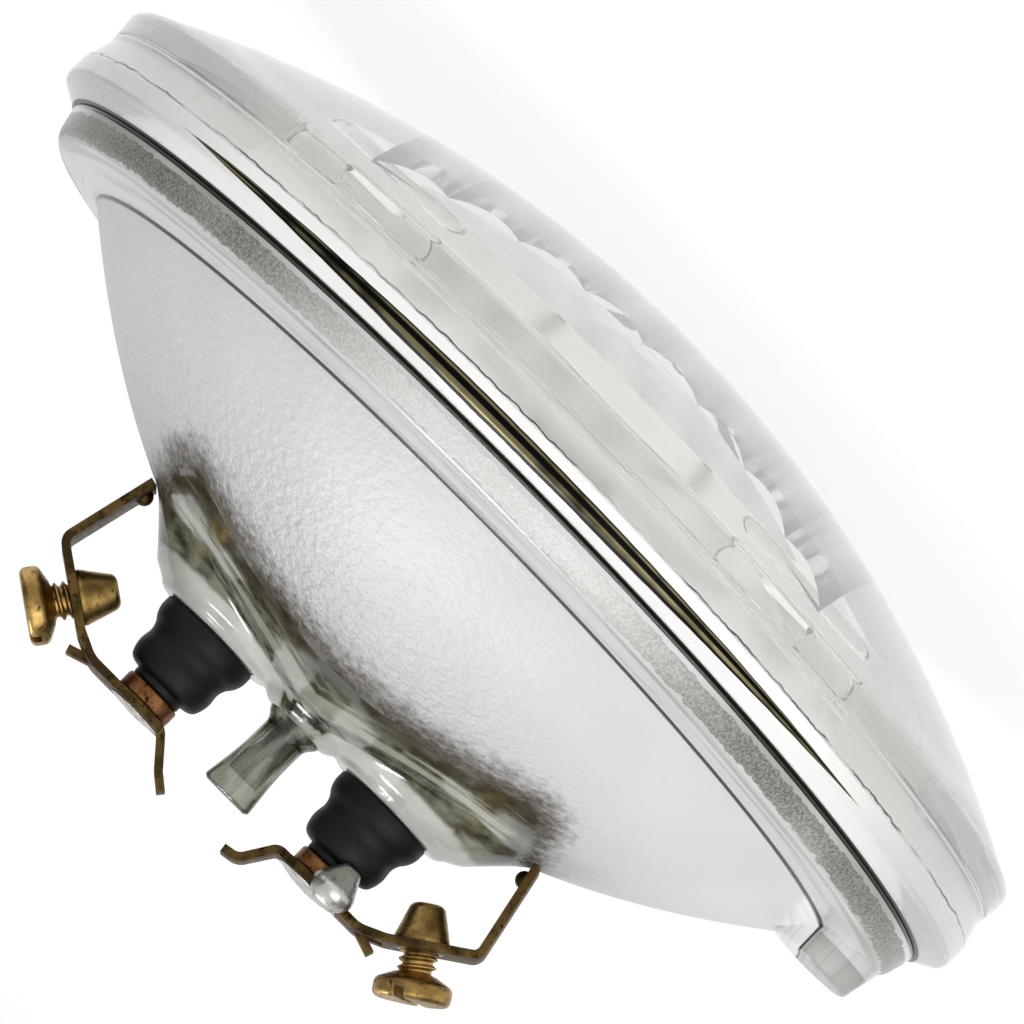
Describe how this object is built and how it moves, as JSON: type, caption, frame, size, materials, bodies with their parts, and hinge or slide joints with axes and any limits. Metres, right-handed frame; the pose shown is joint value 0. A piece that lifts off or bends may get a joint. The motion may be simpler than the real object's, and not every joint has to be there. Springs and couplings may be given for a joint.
{
  "type": "par spotlight bulb",
  "caption": "Sealed-beam spot lamp: domed clear glass lens fused to an aluminised glass bowl, with screw terminals and an exhaust tube on its back.",
  "frame": {"origin": "lowest point of the domed lens, on the lamp's axis, with the lamp standing on its lens", "axes": "+Z along the lamp's axis from the lens towards the terminals, +X from the axis to the terminal away from the locating stud"},
  "size_m": [0.1128, 0.1128, 0.0624],
  "materials": {
    "lens_glass": "clear pressed glass",
    "bowl_glass": "pressed glass, aluminised inside",
    "tube_glass": "clear drawn glass",
    "tungsten": "drawn tungsten wire",
    "blackened_steel": "matt black",
    "copper": "tarnished copper",
    "nickel": "drawn nickel wire",
    "strip_brass": "rolled brass strip, tarnished",
    "turned_brass": "turned brass, tarnished",
    "solder": "bright tin solder"
  },
  "bodies": {
    "lamp": {"lens": "lens_glass", "reflector": "bowl_glass", "exhaust_tube": "tube_glass", "filament": "tungsten", "right_ferrule": "blackened_steel", "left_ferrule": "blackened_steel", "right_eyelet": "copper", "left_eyelet": "copper", "right_lead_post": "nickel", "left_lead_post": "nickel", "right_clip": "strip_brass", "left_clip": "strip_brass", "right_bush": "turned_brass", "left_bush": "turned_brass", "right_solder": "solder", "left_solder": "solder"},
    "right_screw_body": {"right_screw": "turned_brass"},
    "left_screw_body": {"left_screw": "turned_brass"}
  },
  "joints": [
    {"name": "right_screw_turn", "type": "hinge", "parent": "lamp", "child": "right_screw_body", "pos_m": [0.02208, 0, 0.05526], "axis": [0.5668, 0, 0.8239], "range_deg": [-770, 990]},
    {"name": "left_screw_turn", "type": "hinge", "parent": "lamp", "child": "left_screw_body", "pos_m": [-0.02208, 0, 0.05526], "axis": [-0.5668, 0, 0.8239], "range_deg": [-950, 810]}
  ]
}
